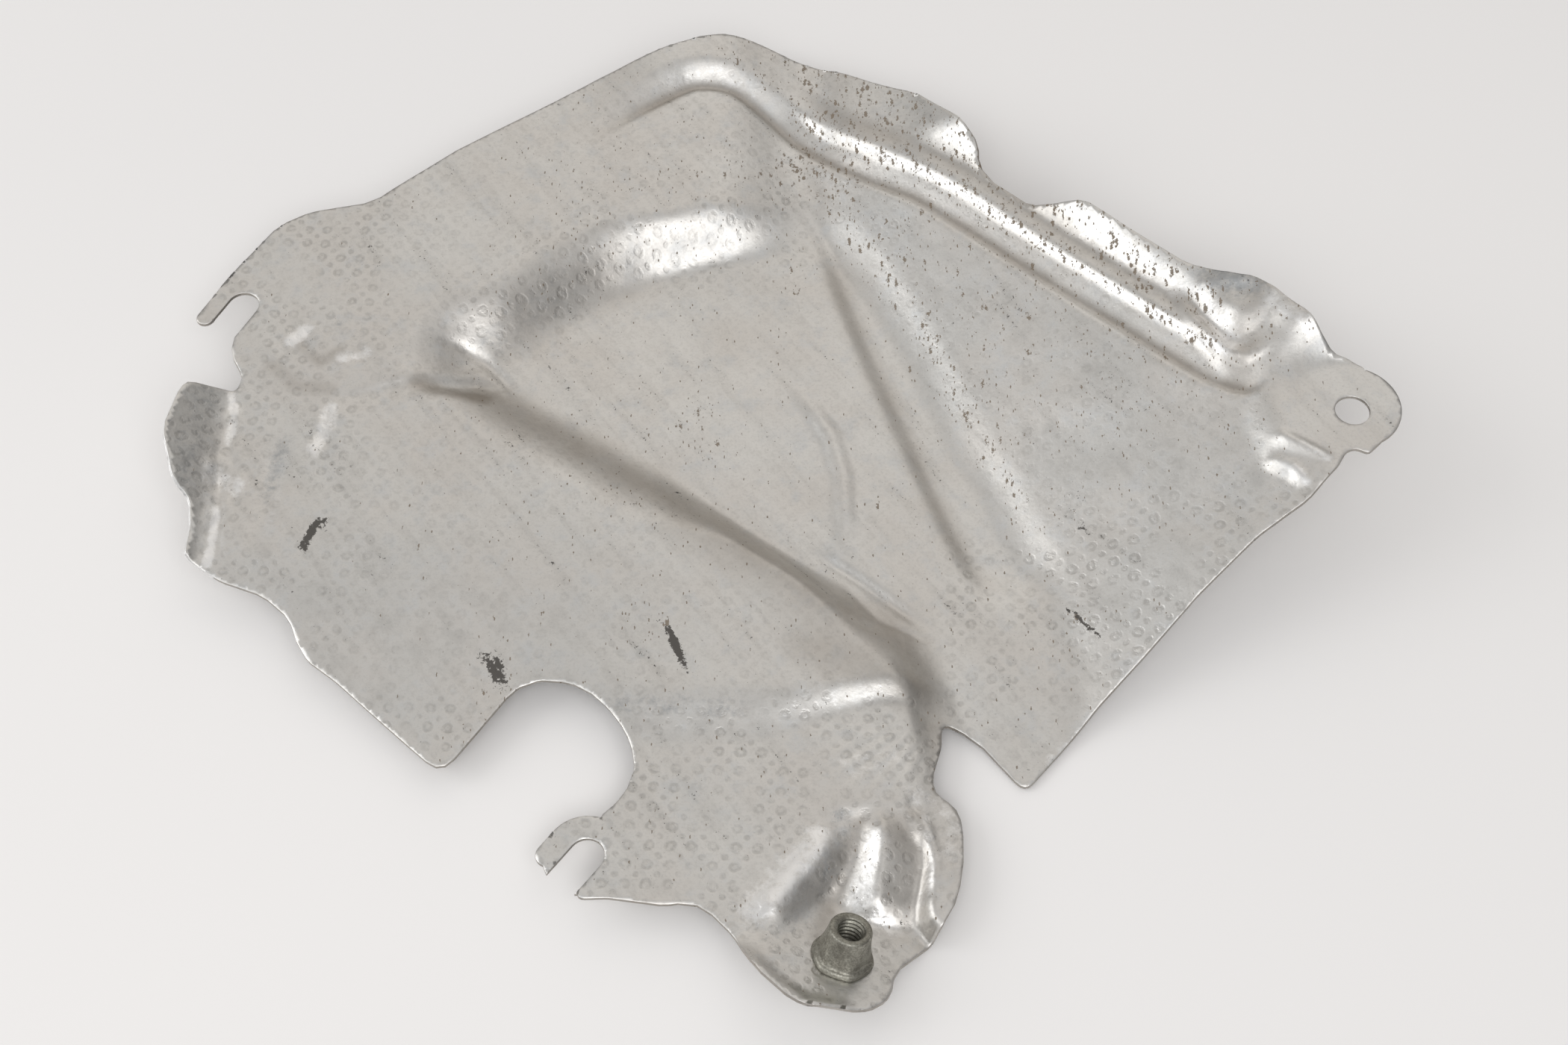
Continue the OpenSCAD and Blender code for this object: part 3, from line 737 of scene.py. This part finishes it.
# Painted highlights, where crests, cut edges and facets facing the light are lightened: path, half
# width, amount
paintedHighlightMarks = [
    ([(7, -85), (2.3, -91.6), (-3, -98), (-6, -101)], 5, 0.9),
    ([(15.5, -96.5), (17, -90), (19, -85)], 4, 0.7), ([(17, -98), (22, -102)], 3, 0.8),
    ([(29, -80), (30, -86), (29.5, -93), (27.5, -98)], 1.6, 0.8),
    ([(27, -74), (31, -76), (35, -80), (34, -88)], 3.5, 0.6),
    ([(4, -54), (12, -52), (20, -50)], 6, 0.5), ([(14, -68), (24, -66)], 6, 0.5),
    ([(-126.1, 24.8), (-124.7, 18.8), (-125.2, 12)], 1.5, 1.0),
    ([(-125.6, -6.1), (-125.3, -10.4), (-125.3, -15.9), (-125.6, -20.6)], 1.5, 1.0),
    ([(-127.5, 3), (-122, 0)], 4, 0.8), ([(-103.1, 22.1), (-104.2, 15.7), (-105.5, 10)], 2.8, 0.9),
    ([(-111.5, 44), (-114.5, 40.9)], 2.6, 1.0), ([(-102.5, 36), (-96.5, 37.5)], 2.2, 0.8),
    ([(-96, -16), (-88, -20)], 4, 0.4),
    ([(69.9, 67.7), (77.1, 59.2), (84.2, 49.6), (89.8, 42.8)], 5, 0.6),
    ([(95, 36), (99.5, 27)], 4, 0.8), ([(108.6, 34.6), (115.6, 27.6)], 3, 0.7),
    ([(112, -1.5), (117, -5)], 1.6, 0.8), ([(109.5, -6.5), (112, -10)], 1.6, 0.8),
    ([(-28, 124), (-18, 127), (-8, 123)], 4, 0.5), ([(80, -40), (56, -64)], 2.5, 0.5),
]
# Painted shade as dull grey on walls, valleys and facets turned from the light: path, half width,
# amount
dullShade = [
    ([(12, -80), (12.5, -86), (10, -91)], 4.5, 0.5),
    ([(-68, 46), (-62, 53), (-53, 61)], 8, 0.45), ([(-38, -54), (-24, -55), (-10, -55)], 3.5, 0.5),
    ([(97, 44), (106, 39)], 5, 0.8), ([(-112.6, 14), (-113.7, 7.3), (-114.3, -3)], 2.5, 0.6),
    ([(-88, -13), (-80, -16)], 6, 0.3), ([(-104, 46), (-96, 43)], 4, 0.4),
    ([(-5.5, -105), (5, -103)], 4, 0.4),
]
# Painted shade in valleys, folds, the scoop's far facet and walls turned from the light: path,
# half width, amount
paintedShadeMarks = [
    ([(25, -84), (25.5, -90), (24, -98)], 6, 0.45),
    ([(15.4, -81), (9.8, -96), (6.8, -106)], 2.2, 0.5),
    ([(-84, 30), (-77, 28), (-70, 27)], 2.6, 0.7),
    ([(-112, 39), (-107, 34.5), (-103, 38)], 1.6, 0.35),
    ([(4, -40), (14, -46), (24, -50)], 5, 0.3), ([(108, 40), (104, 32), (101, 20)], 3, 0.3),
    ([(-118, 34), (-112, 28), (-104, 27)], 2, 0.3), ([(-64, 50), (-54, 60), (-42, 68)], 8, 0.4),
]


def marked(marks, x, y):
    total = np.zeros(len(x))
    for path, half, amount in marks:
        d, _ = nearPath(path, x, y)
        total = np.maximum(total, amount * np.clip(1.3 - np.abs(d) / half, 0, 1))
    return total


def paintSheet(piece):
    n = len(piece.data.vertices)
    co = np.empty(n * 3)
    piece.data.vertices.foreach_get("co", co)
    x, y, _ = (co.reshape(-1, 3) * 1000 + tabHole).T
    corner, step = beside(cornerLine, x, y), beside(stepLine, x, y)
    diagonal, channel = beside(diagonalLine, x, y), beside(channelLine, y, x)
    g, bright = beside(grooveLine, x, y), beside(brightLine, y, x)
    middle = soft(diagonal, 10) * (1 - soft(corner, 8)) * (1 - soft(bright, 12))
    tab = 1 - soft(np.hypot(x - tabSpot[0], y - tabSpot[1]) - 16, 6)
    left = 1 - soft(diagonal + 4, 10)
    pattern = 0.45 + 0.75 * bump(corner, 20) * soft(x + 76, 12) * (1 - soft(x - 12, 16))
    pattern = pattern + 0.6 * bump(step + 3, 14) * left
    pattern = pattern + 0.6 * soft(-y - 62, 20) + 0.9 * soft(x - 36, 10) * soft(-y - 12, 20)
    pattern = pattern + 0.7 * soft(-x - 96, 16) - 0.2 * middle - tab
    setAttribute(piece, "embossing", np.clip(pattern, 0, 1))
    flange = soft(x + 14, 20) * (1 - soft(x - 98, 10))
    dirty = 0.12 + 0.95 * bump(g - 8, 3.4) * flange + 0.35 * soft(g - 8, 6) * flange
    dirty = dirty + 0.6 * bump(bright - 1, 6) * soft(y + 8, 20)
    dirty = dirty + 0.42 * soft(bright, 20) * soft(y - 8, 50)
    dirty = dirty + 0.35 * bump(corner - 16, 22) * soft(x + 60, 30) - 0.2 * soft(-x - 80, 30)
    for spot, high in dirtSpots:
        dirty = dirty + high * patchOn(spot, x, y)
    setAttribute(piece, "dirt", np.clip(dirty - tab, 0, 1.6))
    stain = np.zeros(len(x))
    for path, half in smears:
        d, frac = nearPath(path, x, y)
        amount = np.clip(1.5 - np.abs(d) / half, 0, 1) * (0.4 + taper(frac, 0.4) * 0.6)
        stain = np.maximum(stain, amount)
    setAttribute(piece, "stain", stain)
    # Painted shade on the diagonal wall, in the rim's groove and outside its crest, and in the
    # channel
    paintedShade = 0.3 * bump(diagonal + 1, 8) + 0.38 * bump(diagonal + 4.5, 12 + 3 * soft(x - 10, 20))
    paintedShade = paintedShade * soft(x + 74, 14) * (1 - soft(x - 36, 14)) + marked(paintedShadeMarks, x, y)
    paintedShade = paintedShade + 0.75 * bump(g - 1.5, 2.4) * soft(x + 40, 20) * (1 - soft(x - 104, 8))
    paintedShade = paintedShade + 0.45 * bump(g - 12.5, 4.5) * flange * soft(x - 6, 16)
    paintedShade = paintedShade + 0.5 * bump(channel - 0.5, 5) * soft(y + 18, 12) * (1 - soft(y - 70, 16))
    # Painted shade along the cut edge, over its real dark burr; the left flap's cut edge is left
    # out
    edge = np.arange(len(x))
    edge = (edge >= edgePoints[0]) & (edge < edgePoints[1])
    leftFlap = (x < -124) & (y < 27)
    setAttribute(piece, "paintedShade", np.clip(paintedShade + edge * np.where(leftFlap, 0, 0.75), 0, 1))
    # Painted highlights: the listed marks, the rim's crest and the left flap's cut edge
    paintedHighlight = marked(paintedHighlightMarks, x, y) + 0.9 * bump(g - 7.3, 1.3) * flange * soft(x - 12, 12)
    setAttribute(piece, "paintedHighlight", np.clip(paintedHighlight * (1 - edge) + edge * leftFlap, 0, 1))
    # Painted shade on the listed marks and the left flap's face
    flapFace = bump(x + 132, 7) * (y < 30) * (y > -5)
    setAttribute(piece, "dullShade", marked(dullShade, x, y) + 0.5 * flapFace)


print("finishing the sheet")
paintSheet(formedSheet)
formedSheet.data.materials.append(sheetFinish())


nut = {
    "flats": 11.0,
    "foot": 5.9,
    "footGrown": 0.35,
    "footRound": 0.45,  # 0 is a hexagon and 1 a circle
    "topRadius": 4.4,
    "high": 8.6,
    "shank": 3.8,
    "swage": 4.6,
    "threadMinor": 2.5,
    "threadMajor": 3.0,
    "threadPitch": 1.0,
    "around": 96,
    "hexTurn": 40.0,
    "pale": (0.38, 0.37, 0.32, 1),
    "deep": (0.21, 0.20, 0.17, 1),
}


def padFrame():
    n = np.array([math.tan(math.radians(sheet["padRight"])),
                  math.tan(math.radians(sheet["padBack"])), 1.0])
    z = n / np.linalg.norm(n)
    x = np.cross([0, 1, 0], z)
    x /= np.linalg.norm(x)
    return np.array([x, np.cross(z, x), z])


def makeNut():
    s = nut
    a = np.linspace(0, math.tau, s["around"], endpoint=False)
    toFlat = (a - math.radians(s["hexTurn"])) % (math.pi / 3) - math.pi / 6
    hexR = s["flats"] / 2 / np.cos(toFlat)
    hexR = np.minimum(hexR, s["flats"] / 2 * 1.10) + 0.15
    rows = []
    t = sheet["thickness"]

    def ring(r, z):
        r = np.broadcast_to(r, a.shape)
        rows.append(np.c_[r * np.cos(a), r * np.sin(a), np.full(a.shape, z)])

    ring(s["threadMajor"], -t - 0.65)
    ring(s["swage"] - 0.3, -t - 0.7)
    ring(s["swage"], -t - 0.45)
    ring(s["swage"] - 0.1, -t - 0.05)
    ring(s["shank"], -t)
    ring(s["shank"], 0.0)
    foot = mix(hexR, s["foot"], s["footRound"]) + s["footGrown"]
    for inset, z in ((0.5, 0.0), (0.12, 0.15), (0.0, 0.5), (0.04, 0.9), (0.2, 1.2),
                     (0.5, 1.4), (0.75, 1.5)):
        ring(foot - inset, z)
    top, high = s["topRadius"], s["high"]
    bodyHex = hexR * 0.9
    for k in range(1, 13):
        w = k / 12
        z = 1.6 + (high - 0.5 - 1.6) * w
        ring(mix(mix(bodyHex, top, w * 0.8), mix(5.0, top, w), soft(w - 0.5, 0.7)), z)
    ring(top - 0.12, high - 0.2)
    ring(top - 0.35, high - 0.03)
    ring(top - 0.5, high)
    ring(s["threadMajor"] + 0.35, high)
    ring(s["threadMajor"] + 0.1, high - 0.12)
    pitch, steps = s["threadPitch"], 8
    z = high - 0.35
    low = -t - 0.5
    while z > low:
        turn = (z / pitch + a / math.tau) % 1
        tooth = np.abs(turn - 0.5) * 2
        ring(mix(s["threadMinor"], s["threadMajor"], tooth), z)
        z -= pitch / steps
    n = s["around"]
    pts = np.vstack(rows)
    faces = []
    for r in range(len(rows)):
        q = (r + 1) % len(rows)
        faces += [[r * n + k, r * n + (k + 1) % n, q * n + (k + 1) % n, q * n + k]
                  for k in range(n)]
    axes = padFrame()
    base = np.array([*nutSpot, float(padHeight(*nutSpot))])
    pts = pts @ axes + base
    return makeMesh("threadedNut", toFrame(pts), faces)


def nutFinish():
    s = Shader(bpy.data.materials.new("dullZinc"))
    spot = s.node("ShaderNodeTexCoord", {}, {}, out=3)
    grain = s.noise(spot, 2500, 3, 0.7)
    cloud = s.noise(spot, 350, 3, 0.6) * 0.5 + grain * 0.5
    colour = s.blend(s.ranged(cloud, 0.38, 0.62), nut["pale"], nut["deep"])
    rough = s.ranged(grain, 0.3, 0.7, (0.36, 0.55))
    normal = s.node("ShaderNodeBump", {}, {"Height": grain * 0.00003, "Distance": 1.0})
    return s.finish(**{"Base Color": colour, "Metallic": 0.9, "Roughness": rough,
                       "Normal": normal})


print("making the nut")
threadedNut = makeNut()
threadedNut.data.materials.append(nutFinish())
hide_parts("threaded_nut")
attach(threadedNut, "root")


studio = {
    "lens": 52.29,
    "cameraAt": (-0.124, -0.298, 0.398),
    "fall": 56.0,
    "middle": (-0.12, 0.0, -0.02),
    "floorColour": (0.955, 0.94, 0.93, 1),
    "floorShade": (0.935, 0.922, 0.915, 1),
    "floorHalf": 3.0,
    "roomLight": (0.10, 0.10, 0.10),
    "glowPower": 12,
    # Turn from the far side, height in degrees, strength, colour
    "glows": [(0, 52, 0.20, (1.0, 0.96, 0.92)), (0, 30, 0.54, (1.0, 0.95, 0.89)),
              (60, 58, 0.42, (1.0, 0.98, 0.96)),
              (-90, 30, 0.80, (1.0, 1.0, 1.0)), (180, 46, 0.98, (1.0, 1.0, 1.01))],
    # Turn, height, distance, width, depth, power
    "softBoxes": [(-90, 32, 1.1, 0.75, 0.6, 2.2), (172, 50, 1.1, 0.95, 0.6, 3.0)],
}


def makeFloor():
    low = cadBox[0][2]
    size = studio["floorHalf"]
    floor = makeMesh("floor", [(-size, -size, low), (size, -size, low), (size, size, low),
                               (-size, size, low)], [[0, 1, 2, 3]], smooth=False)
    s = Shader(bpy.data.materials.new("paleFloor"))
    grain = s.noise(s.node("ShaderNodeTexCoord", {}, {}, out=3), 3, 2)
    colour = s.blend(s.ranged(grain, 0.3, 0.7), studio["floorColour"], studio["floorShade"])
    floor.data.materials.append(s.finish(**{"Base Color": colour, "Roughness": 0.8}))


def towards(turn, high):
    a, b = math.radians(turn), math.radians(high)
    return (math.sin(a) * math.cos(b), math.cos(a) * math.cos(b), math.sin(b))


def makeLight():
    bpy.context.scene.world = bpy.data.worlds.new("studioRoom")
    shader = Shader(bpy.context.scene.world)
    spot = shader.node("ShaderNodeTexCoord", {}, {}, out=0)
    total = studio["roomLight"]
    for turn, high, strength, colour in studio["glows"]:
        facing = shader.node("ShaderNodeVectorMath", {"operation": "DOT_PRODUCT"},
                             {0: spot, 1: towards(turn, high)}, out=1)
        lobe = (facing * 0.5 + 0.5) ** studio["glowPower"] * strength
        glow = shader.node("ShaderNodeVectorMath", {"operation": "SCALE"}, {0: colour, 3: lobe})
        total = shader.node("ShaderNodeVectorMath", {"operation": "ADD"}, {0: total, 1: glow})
    glow = shader.node("ShaderNodeBackground", {}, {0: total, 1: 1.0})
    shader.node("ShaderNodeOutputWorld", {}, {0: glow})
    for turn, high, far, wide, deep, power in studio["softBoxes"]:
        lamp = bpy.data.lights.new("softBox", "AREA")
        lamp.shape = "RECTANGLE"
        lamp.size, lamp.size_y, lamp.energy = wide, deep, power
        box = bpy.data.objects.new("softBox", lamp)
        way = Vector(towards(turn, high))
        box.location = Vector(studio["middle"]) + way * far
        box.rotation_euler = way.to_track_quat("Z", "Y").to_euler()
        bpy.context.scene.collection.objects.link(box)


def makeCamera():
    data = bpy.data.cameras.new("camera")
    data.lens = studio["lens"]
    data.sensor_width = 36
    data.clip_start = 0.01
    camera = bpy.data.objects.new("camera", data)
    camera.location = studio["cameraAt"]
    camera.rotation_euler = (math.radians(90 - studio["fall"]), 0, 0)
    bpy.context.scene.collection.objects.link(camera)
    bpy.context.scene.camera = camera


print("setting the studio")
makeFloor()
makeLight()
makeCamera()
bpy.context.scene.view_settings.view_transform = "Standard"
